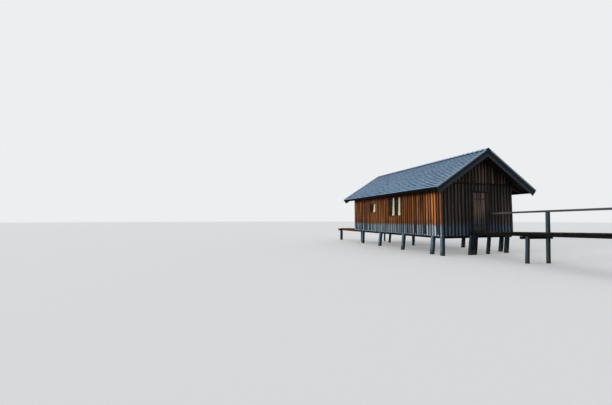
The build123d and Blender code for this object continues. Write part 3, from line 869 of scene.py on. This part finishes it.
def cutBoards(source, cut, draws):
    # Splits a slab into boards laid side by side. In the cut's settings, ends and lift are how far
    # boards are moved lengthwise and out of their face.
    across = Vector(cut["across"]).normalized()
    along = Vector(cut["along"]).normalized()
    normal = across.cross(along)
    gap = cut["gap"]
    ends = cut.get("ends", 0.0)
    lift = cut.get("lift", 0.0)
    reaches = [vert.co.dot(across) for vert in source.verts]
    start, finish = min(reaches), max(reaches)
    count = max(1, round((finish - start) / cut["width"]))
    play = sawn["jointPlay"] * cut["width"]
    joints = [start + (finish - start) * n / count for n in range(count + 1)]
    joints[1:-1] = [joint + draws.uniform(-1, 1) * play for joint in joints[1:-1]]
    shaded = gap / 2 + sawn["roundness"] * sawn["shaded"]
    made = Stack("side")
    for low, high in zip(joints, joints[1:]):
        part = slicePart(source, across, low + gap / 2, high - gap / 2)
        soften(part, sawn["roundness"])
        side = part.verts.layers.float.new("side")
        for vert in part.verts:
            reach = vert.co.dot(across)
            vert[side] = 1.0 if min(reach - low, high - reach) < shaded else 0.0
        shift = along * draws.uniform(-ends, ends) + normal * draws.uniform(-lift, lift)
        bmesh.ops.translate(part, vec=shift, verts=part.verts)
        made.add(part, draws.random())
    source.free()
    return made


def slopeWays(side):
    # The directions down one roof slope and square out of it.
    pitch = math.radians(roofPitch)
    down = Vector((side * math.cos(pitch), 0, -math.sin(pitch)))
    out = Vector((side * math.sin(pitch), 0, math.cos(pitch)))
    return down, out


# upright cover boards, nailed over the joints of the boards that the CAD walls hold
coverBoards = {
    "width": 0.106,
    "sidePitch": 0.192,
    "gablePitch": 0.220,
    "proud": 0.025,
    "lap": 0.001,  # how far a board sits into the wall behind it
    "uneven": 0.014,  # how far the lower ends differ
    "spareWidth": 0.010,
    "sparePlace": 0.005,
    "play": 0.004,
    "narrowest": 0.022,
    "shortest": 0.05,
    "clear": 0.003,
    "endClear": 0.004,
    "drip": 0.012,  # how far the gable boards hang over the joint below them
    "sillRoom": 0.15,  # the width left for the sill that runs on behind the rear wall
    "rings": 5,
    "warp": 0.003,
    "roundness": 0.0035,
}


def subtractSpans(span, blocks):
    # What is left of a (low, high) span after the blocks are taken out of it.
    spans = [span]
    for low, high in blocks:
        kept = []
        for start, finish in spans:
            if high <= start or low >= finish:
                kept.append((start, finish))
                continue
            if low > start:
                kept.append((start, low))
            if high < finish:
                kept.append((high, finish))
        spans = kept
    return spans


def coverRow(run, rise, pitch, openings, draws):
    # The (left, right, base, top, tone) of every upright board along a wall, cut round its openings.
    use = coverBoards
    start, finish = run
    foot, head = rise
    touch = 1e-6
    count = round((finish - start) / pitch)
    pitch = (finish - start - use["width"]) / count
    boards = []
    for n in range(count + 1):
        width = use["width"] + draws.uniform(-1, 1) * use["spareWidth"]
        middle = start + use["width"] / 2 + n * pitch + draws.uniform(-1, 1) * use["sparePlace"]
        low = max(start, middle - width / 2)
        high = min(finish, middle + width / 2)
        bottom = foot + draws.uniform(0, use["uneven"])
        tone = draws.random()
        edges = sorted({low, high, *(edge for box in openings for edge in box[:2] if low < edge < high)})
        for left, right in zip(edges, edges[1:]):
            if right - left < use["narrowest"]:
                continue
            blocks = [box[2:] for box in openings if box[0] < right - touch and box[1] > left + touch]
            for base, top in subtractSpans((bottom, head), blocks):
                if top - base > use["shortest"]:
                    boards.append((left, right, base, top, tone))
    return boards


def boardUp(node, axis, way, run, rise, openings, draws):
    # Cover boards on a wall: axis is the wall's own direction, way its outside. Gives the boards,
    # and what the nails need to know of them.
    use = coverBoards
    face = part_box(node)[1 if way > 0 else 0][1 - axis]
    row = coverRow(run, rise, use["sidePitch" if axis == 1 else "gablePitch"], openings, draws)
    wall = Stack()
    for left, right, base, top, tone in row:
        inner = face - way * use["lap"]
        outer = face + way * (use["proud"] + draws.uniform(-1, 0) * use["play"])
        low, high = [0, 0, base], [0, 0, top]
        low[axis], high[axis] = left, right
        low[1 - axis], high[1 - axis] = min(inner, outer), max(inner, outer)
        wall.add(board(low, high, 2, draws, use["rings"], use["warp"], use["roundness"]), tone)
    return wall, (axis, way, face + way * use["proud"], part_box(node)[0].z, row)


def windowOpenings(side):
    # What the window frames and sills fill on one long wall, as (low, high, bottom, top).
    clear = coverBoards["clear"]
    boxes = islandBoxes("window_frames") + islandBoxes("window_sills")
    return [(low.y - clear, high.y + clear, low.z - clear, high.z + clear)
            for low, high in boxes if low.x * side > 0]


def makeSideBoards():
    nailed = []
    for hand, side in (("left", -1), ("right", 1)):
        node = hand + "_wall"
        low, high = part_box(node)
        wall, rows = boardUp(node, 1, side, (low.y, high.y), (low.z, high.z), windowOpenings(side),
                             random.Random(11 + side))
        wall.piece("cover_boards_" + hand, "side_wood", "side_boards")
        nailed.append(rows)
    return nailed


def endRun():
    # From corner to corner of the hut, over the side walls' boards.
    corner = wallLow.x - coverBoards["proud"]
    return corner, -corner


def makeEndBoards():
    # The boards of the two ends, up to the drip joint under the gable boards.
    clear, endClear = coverBoards["clear"], coverBoards["endClear"]
    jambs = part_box("door_jambs")
    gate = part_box("boat_gate")
    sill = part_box("side_sills")
    doorway = (jambs[0].x - clear, jambs[1].x + clear,
               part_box("door_threshold")[0].z - endClear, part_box("door_lintel")[1].z + endClear)
    gateway = (gate[0].x - endClear, gate[1].x + endClear, 0.0, gate[1].z + endClear)
    sillEnd = (sill[0].x - endClear, sill[0].x + coverBoards["sillRoom"], 0.0, sill[1].z + endClear)
    nailed = []
    for end, way, openings in (("front", -1, [doorway]), ("rear", 1, [gateway, sillEnd])):
        node = end + "_wall_left"
        rise = (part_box(node)[0].z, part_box(end + "_gable")[0].z - endClear)
        wall, rows = boardUp(node, 0, way, endRun(), rise, openings, random.Random(31 + way))
        wall.piece("cover_boards_" + end, "gable_wood", "gable_boards")
        nailed.append(rows)
    return nailed


def makeGableBoards():
    for end, way in (("front", -1), ("rear", 1)):
        node = end + "_gable"
        low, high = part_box(node)
        rise = (low.z - coverBoards["drip"], high.z)
        wall = boardUp(node, 0, way, endRun(), rise, [], random.Random(51 + way))[0]
        for side in (-1, 1):
            cutOff(wall.bm, (0, 0, high.z - coverBoards["endClear"]), slopeWays(side)[1])
        wall.piece("gable_boards_" + end, "gable_upper", "gable_boards")


nails = {
    "radius": 0.0055,
    "taper": 0.6,
    "thick": 0.003,
    "sunk": 0.001,
    "rows": (0.10, 1.05, 2.00, 2.58),  # heights over the wall's foot
    "fromEnd": 0.03,
    "across": (0.28, 0.72),  # shares of a board's width
    "unevenUp": 0.012,
    "unevenAcross": 0.004,
}


def nailHead(matrix):
    head = bmesh.new()
    bmesh.ops.create_cone(head, cap_ends=True, segments=8, radius1=nails["radius"],
                          radius2=nails["radius"] * nails["taper"], depth=nails["thick"], matrix=matrix)
    return head


def makeNails(nailed):
    draws = random.Random(5)
    heads = Stack()
    for axis, way, face, foot, row in nailed:
        outside = Vector((0, way, 0)) if axis == 0 else Vector((way, 0, 0))
        turn = Vector((0, 0, 1)).rotation_difference(outside).to_matrix().to_4x4()
        for left, right, base, top, _ in row:
            low, high = base + nails["fromEnd"], top - nails["fromEnd"]
            for height in (foot + rise for rise in nails["rows"] if low < foot + rise < high):
                for place in (left + (right - left) * share for share in nails["across"]):
                    spot = [0, 0, height + draws.uniform(-1, 1) * nails["unevenUp"]]
                    spot[axis] = place + draws.uniform(-1, 1) * nails["unevenAcross"]
                    spot[1 - axis] = face - way * nails["sunk"]
                    heads.add(nailHead(Matrix.Translation(spot) @ turn), 0.0)
    heads.piece("wall_nails", "iron", "iron")


makeNails(makeSideBoards() + makeEndBoards())
makeGableBoards()
print("wall boards made")


# roof: a wedge shingle, repeated in courses up each slope, and cap boards along the ridge
roof = {
    "courses": 19,
    "length": 0.44,
    "butt": 0.028,  # thickness at the lower end
    "head": 0.004,
    "narrow": 0.085,
    "wide": 0.165,
    "rest": 0.05,  # a narrower rest widens the last shingle of its course
    "gap": 0.006,
    "skew": 0.006,  # how far a butt end is out of square
    "spin": 0.012,
    "tilt": 0.004,
    "stagger": 0.004,
    "wave": 0.030,  # how far the courses wander up and down along the roof
    "waves": (0.85, 0.10, 9),  # how fast, along the roof, from course to course and from side to side
    "eave": (-0.012, 0.004),  # how far the lowest butts end from the eave
    "depth": 0.030,  # from the top of the shingles to the boards
    "lift": 0.002,
    "shortest": 0.05,
    "ridgeClear": 0.01,
}


def shingle(width, draws):
    # A wedge lying along its own +Y, butt end at the origin, its top side up.
    part = bmesh.new()
    bmesh.ops.create_cube(part, size=1)
    reach = part.verts.layers.float.new("reach")
    for vert in part.verts:
        atHead = vert.co.y > 0
        thick = roof["head"] if atHead else roof["butt"]
        end = roof["length"] if atHead else draws.uniform(-1, 1) * roof["skew"]
        vert.co = Vector((vert.co.x * width, end, thick if vert.co.z > 0 else 0.0))
        vert[reach] = 0.0 if atHead else 1.0
    return part


def makeSlope(name, node, side):
    draws = random.Random(71 + side)
    low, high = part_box(node)
    down, out = slopeWays(side)
    axes = Matrix((Vector((0, side, 0)), -down, out)).transposed().to_4x4()
    apex = Vector((0, 0, high.z))
    pitch = math.radians(roofPitch)
    eave = max(abs(low.x), abs(high.x)) / math.cos(pitch) - roof["depth"] * math.tan(pitch) / 2
    wedge = (roof["butt"] - roof["head"]) / roof["length"]
    along, across, sideways = roof["waves"]
    courses = Stack("reach")
    for course in range(roof["courses"]):
        place = low.y
        while high.y - place > roof["gap"]:
            width = min(draws.uniform(roof["narrow"], roof["wide"]), high.y - place)
            if high.y - place - width < roof["rest"]:
                width = high.y - place
            middle = place + width / 2
            wave = noise.noise(Vector((middle * along, course * across, side * sideways))) * roof["wave"]
            butt = (course + 1) * eave / roof["courses"] + draws.uniform(-1, 1) * roof["stagger"] + wave
            if course == roof["courses"] - 1:
                butt = eave + draws.uniform(*roof["eave"])
            part = shingle(width - roof["gap"], draws)
            tilt = Matrix.Rotation(-wedge - draws.uniform(-1, 1) * roof["tilt"], 4, "X")
            spin = Matrix.Rotation(draws.uniform(-1, 1) * roof["spin"], 4, "Z")
            spot = apex + down * min(butt, eave + roof["eave"][1]) - out * (roof["butt"] + roof["lift"])
            spot.y = middle
            head = min(roof["length"], max(roof["shortest"], butt - roof["ridgeClear"]))
            for vert in part.verts:
                vert.co.y = min(vert.co.y, head)
            laid = Matrix.Translation(spot) @ axes @ spin @ tilt
            bmesh.ops.transform(part, matrix=laid, verts=part.verts)
            courses.add(part, draws.random())
            place += width
    courses.piece(name, "shingles", "shingles", stands=(node,))


makeSlope("shingles_left", "roof_cover_left", -1)
makeSlope("shingles_right", "roof_cover_right", 1)

ridge = {
    "length": 0.30,
    "width": 0.210,
    "thick": 0.016,
    "lap": 0.05,
    "rise": 0.7,  # how far a lapping end is raised, in thicknesses
    "seat": 0.55,
    "uneven": 0.01,
    "lift": 0.001,
    "rings": 2,
    "warp": 0.002,
    "roundness": 0.002,
    "reach": (0.96, 0.54),  # at the two ends, as a shingle's
    "tones": (0.1, 0.6),
}


def makeRidge():
    # Short cap boards on both sides of the ridge, each end lapping over the next.
    draws = random.Random(91)
    low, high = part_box("ridge_cap")
    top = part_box("roof_cover_left")[1].z
    thick = ridge["thick"]
    count = round((high.y - low.y) / ridge["length"])
    step = (high.y - low.y) / count
    caps = Stack("reach")
    for side in (-1, 1):
        down, out = slopeWays(side)
        axes = Matrix((down, Vector((0, 1, 0)), out)).transposed().to_4x4()
        for n in range(count):
            last = n == count - 1
            length = step if last else step + ridge["lap"]
            width = ridge["width"] + draws.uniform(-1, 1) * ridge["uneven"]
            size = (width, length, thick)
            part = board((0, 0, 0), size, 1, draws, ridge["rings"], ridge["warp"], ridge["roundness"])
            # painted shade: each cap board darkens towards its far end, where the next one laps over it
            reach = part.verts.layers.float.new("reach")
            for vert in part.verts:
                vert[reach] = between(ridge["reach"], vert.co.y / length)
            start = Vector((0, low.y + n * step, top)) + out * ridge["lift"]
            lean = 0.0
            if not last:
                start += out * (thick * ridge["seat"])
                lean = -thick * ridge["rise"] / step
            laid = Matrix.Translation(start) @ axes @ Matrix.Rotation(lean, 4, "X")
            bmesh.ops.transform(part, matrix=laid, verts=part.verts)
            caps.add(part, draws.uniform(*ridge["tones"]))
    caps.piece("ridge_boards", "shingles", "shingles", stands=("ridge_cap",))


makeRidge()
print("roof covered")


# piles: the CAD posts, cut into rings and weathered
pileWear = {
    "ring": 0.11,
    "topClear": 0.02,  # no ring is cut nearer to the top
    "bulge": 0.007,
    "bulges": (5, 5, 1.6),
    "flute": 0.004,
    "flutes": (34, 34, 0.9),
    "head": 0.05,  # so far under its head a pile keeps its fitted shape
    "calm": 0.24,  # the length below, over which the wear grows
    "level": 0.5,  # points whose normal reaches less far sideways stay as they are
    "smooth": 38,  # degrees
}


def weatherPiles(node, look):
    bm = mergedCopy(node)
    top = max(vert.co.z for vert in bm.verts) - pileWear["topClear"]
    for n in range(1, math.ceil(top / pileWear["ring"])):
        bmesh.ops.bisect_plane(bm, geom=bm.verts[:] + bm.edges[:] + bm.faces[:], dist=sawn["onCut"],
                               plane_co=(0, 0, n * pileWear["ring"]), plane_no=(0, 0, 1))
    bm.normal_update()
    for group in islands(bm):
        head = max(vert.co.z for vert in group) - pileWear["head"]
        for vert in group:
            away = Vector((vert.normal.x, vert.normal.y, 0))
            if away.length < pileWear["level"]:
                continue
            away.normalize()
            hold = max(0.0, min(1.0, (head - vert.co.z) / pileWear["calm"]))
            bulge = noise.noise(vert.co * Vector(pileWear["bulges"])) * pileWear["bulge"]
            flute = noise.noise(vert.co * Vector(pileWear["flutes"])) * pileWear["flute"]
            vert.co += away * hold * (bulge + flute)
    makePiece(node + "_worn", bm, look, stands=(node,), smooth=pileWear["smooth"])


weatherPiles("piles_left", "pile")
for node in ("piles_middle", "piles_right", "platform_piles", "jetty_piles"):
    weatherPiles(node, "inner_pile")
print("piles weathered")


# boards cut out of the CAD slabs
jettyTurn = math.radians(jettySkew)
jettyPlanks = {
    "across": (-math.sin(jettyTurn), -math.cos(jettyTurn), 0),
    "along": (math.cos(jettyTurn), -math.sin(jettyTurn), 0),
    "width": 0.165, "gap": 0.012, "ends": 0.018, "lift": 0.002, "look": "deck_wood", "slot": "jetty_timber",
}
roofPlanks = {"along": (0, 1, 0), "width": 0.150, "gap": 0.004, "look": "roof_board", "slot": "roof_boards"}
slabs = {
    "jetty_planks_inner": {"node": "jetty_deck_inner", **jettyPlanks},
    "jetty_planks_outer": {"node": "jetty_deck_outer", **jettyPlanks},
    "platform_planks": {
        "node": "platform_deck", "across": (0, 1, 0), "along": (1, 0, 0), "width": 0.150, "gap": 0.009,
        "ends": 0.010, "lift": 0.001, "look": "platform_wood", "slot": "jetty_timber"},
    "floor_planks": {
        "node": "floor", "across": (1, 0, 0), "along": (0, 1, 0), "width": 0.155, "gap": 0.004,
        "lift": 0.0005, "look": "floor_wood", "slot": "floor_boards"},
    "gate_planks": {
        "node": "boat_gate", "across": (1, 0, 0), "along": (0, 0, 1), "width": 0.170, "gap": 0.005,
        "ends": 0.006, "lift": 0.001, "look": "gable_wood", "slot": "gable_boards"},
    "roof_planks_left": {"node": "roof_boards_left", "across": -slopeWays(-1)[0], **roofPlanks},
    "roof_planks_right": {"node": "roof_boards_right", "across": -slopeWays(1)[0], **roofPlanks},
}
for number, (name, slab) in enumerate(slabs.items()):
    made = cutBoards(mergedCopy(slab["node"]), slab, random.Random(200 + number))
    made.piece(name, slab["look"], slab["slot"], stands=(slab["node"],))
print("slabs cut into boards")


# the door leaf: close boards, and wider-spaced planks over them on the outside
doorLeaf = {
    "back": 0.018,
    "past": 0.001,
    "boards": {"width": 0.136, "gap": 0.003},
    "planks": {"width": 0.272, "gap": 0.056},
}


def makeDoorLeaf():
    leaf = mergedCopy("door_leaf")
    low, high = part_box("door_leaf")
    face = high.y - doorLeaf["back"]
    inwards = Vector((0, 1, 0))
    back = slicePart(leaf, inwards, face, high.y + doorLeaf["past"])
    front = slicePart(leaf, inwards, low.y - doorLeaf["past"], face)
    leaf.free()
    for name, part, kind, look in (("door_back_boards", back, "boards", "gable_back_shade"),
                                   ("door_planks", front, "planks", "door_wood")):
        cut = {"across": (1, 0, 0), "along": (0, 0, 1), **doorLeaf[kind]}
        made = cutBoards(part, cut, random.Random(230))
        made.piece(name, look, "door_boards", "door", ("door_leaf",))


makeDoorLeaf()
print("door boarded")


# curtains: gathered at one side of each light and flaring downwards
curtains = {
    "segments": (64, 26),  # across and down
    "folds": 3.5,
    "depth": 0.62,
    "lean": 0.8,  # how far the folds drift sideways on their way down
    "fineFolds": 2.65,
    "fineDepth": 0.15,
    "sway": 0.2,
    "swayWaves": (3, 2, 5),  # across, down and from curtain to curtain
    "hem": 0.004,
    "hemWaves": 4,
    "topShare": 0.72,  # how much of its light's width a curtain fills at the top
    "flare": 1.6,
    "drop": 0.012,  # how far the hem ends over the bottom of the light
    "clear": 0.002,
    "smooth": 80,  # degrees
}


def makeCurtain(number, low, high):
    use = curtains
    draws = random.Random(300 + number)
    width = high.y - low.y - 2 * use["clear"]
    length = high.z - low.z - use["drop"]
    middle = (low.x + high.x) / 2
    depth = (high.x - low.x) / 2 - use["clear"]
    bm = bmesh.new()
    bmesh.ops.create_grid(bm, x_segments=use["segments"][0], y_segments=use["segments"][1], size=0.5)
    phase = draws.uniform(0, 6)
    wavesAcross, wavesDown, wavesOn = use["swayWaves"]
    for vert in bm.verts:
        across, down = vert.co.x + 0.5, 0.5 - vert.co.y
        turns = across * 2 * math.pi
        share = use["topShare"] + (1 - use["topShare"]) * down ** use["flare"]
        fold = math.sin(turns * use["folds"] + phase + down * use["lean"]) * use["depth"]
        fine = math.sin(turns * use["folds"] * use["fineFolds"] + phase * 2 - down) * use["fineDepth"]
        sway = noise.noise(Vector((across * wavesAcross, down * wavesDown, number * wavesOn))) * use["sway"]
        hem = noise.noise(Vector((across * use["hemWaves"], number, 2))) * use["hem"] * down
        vert.co = Vector((middle + depth * max(-1.0, min(1.0, fold + fine + sway)),
                          low.y + use["clear"] + width * across * share,
                          high.z - use["clear"] - length * down + hem))
    cloth = makePiece("curtain_%d" % (number + 1), bm, "curtain", "hut", ("window_curtains",),
                      use["smooth"])


for number, (low, high) in enumerate(islandBoxes("window_curtains")):
    makeCurtain(number, low, high)
print("curtains hung")


# finishes for the CAD nodes that show as they are
nodeLooks = {
    "side_back_shade": ("left_wall", "right_wall"),
    "gable_back_shade": ("front_gable", "rear_gable", "front_wall_left", "front_wall_right", "front_wall_head",
                   "front_wall_foot", "rear_wall_left", "rear_wall_right", "rear_wall_head", "door_lintel"),
    "sill_wood": ("side_sills", "middle_beam"),
    "sill_across": ("cross_sills", "landing_bearer"),
    "platform_side": ("platform_beam",),
    "platform_wood": ("platform_header",),
    "frame_across": ("tie_beams", "door_ledges"),
    "door_frame": ("door_jambs", "door_threshold"),
    "plate_wood": ("wall_plates", "ridge_beam"),
    "frame_along": ("floor_joists",),
    "frame_upright": ("wall_posts", "king_posts"),
    "rafter_wood": ("rafters",),
    "barge_wood": ("barge_boards_front", "barge_boards_rear"),
    "verge_wood": ("verge_caps",),
    "fascia_wood": ("eave_fascias",),
    "window_wood": ("window_frames",),
    "window_sill": ("window_sills",),
    "glass": ("window_glass",),
    "iron": ("door_straps", "door_pintles", "door_handle"),
    "jetty_wood": ("jetty_stringers",),
    "rail_wood": ("handrail",),
    "deck_wood": ("jetty_crossbeams",),
}
for look, names in nodeLooks.items():
    for name in names:
        mesh = nodes[name].data
        mesh.materials.clear()
        mesh.materials.append(looks[look])
print("CAD nodes finished")


# studio: pale floor and background, one broad key light and an even light from all round
studio = {
    "floorSize": 420,
    "floorGap": 0.0005,
    "floorSeen": rgb(226, 228, 230),
    "floorGlow": 0.24,
    "floorLit": 0.16,
    "background": rgb(236, 238, 240),
    "sky": 0.50,
    "key": 2.4,
    "keySpread": 20,  # degrees
    "keyFrom": (-1.0, 0.0, 0.10),
}


def seenRays(graph):
    # 1 where a ray comes from the camera, by itself, by a mirror or through glass.
    seen = graph.node("LightPath", out="Is Camera Ray")
    for ray in ("Is Glossy Ray", "Is Transmission Ray"):
        seen = graph.node("Math", {"operation": "MAXIMUM"}, {0: seen, 1: graph.node("LightPath", out=ray)})
    return seen


def grey(value):
    return (value, value, value)


def makeStudioFloor():
    bm = bmesh.new()
    bmesh.ops.create_circle(bm, cap_ends=True, segments=96, radius=studio["floorSize"] / 2)
    bmesh.ops.translate(bm, vec=(0, 0, cadBounds[0].z - studio["floorGap"]), verts=bm.verts)
    mesh = bpy.data.meshes.new("floor_plane")
    bm.to_mesh(mesh)
    bm.free()
    look = Look("studio_floor", Specular_IOR_Level=0.1, Roughness=0.9, Emission_Strength=1.0)
    seen = seenRays(look)
    colour = look.mix(grey(studio["floorLit"]), studio["floorSeen"], seen)
    look.feed(look.shader.inputs["Base Color"], colour)
    glow = look.mix(grey(0.0), grey(studio["floorGlow"]), seen)
    look.feed(look.shader.inputs["Emission Color"], glow)
    mesh.materials.append(look.material)
    floor = bpy.data.objects.new("studio_floor", mesh)
    scene.collection.objects.link(floor)


def makeStudioLight():
    sun = bpy.data.lights.new("key", "SUN")
    sun.energy = studio["key"]
    sun.angle = math.radians(studio["keySpread"])
    key = bpy.data.objects.new("key", sun)
    key.rotation_euler = Vector(studio["keyFrom"]).to_track_quat("Z", "Y").to_euler()
    scene.collection.objects.link(key)
    scene.world = bpy.data.worlds.new("studio")
    scene.world.use_nodes = True
    sky = Graph(scene.world.node_tree)
    back = sky.tree.nodes["Background"]
    back.inputs["Strength"].default_value = 1.0
    sky.feed(back.inputs["Color"], sky.mix(grey(studio["sky"]), studio["background"], seenRays(sky)))


makeStudioFloor()
makeStudioLight()
scene.view_settings.view_transform = "Standard"
print("studio lit")
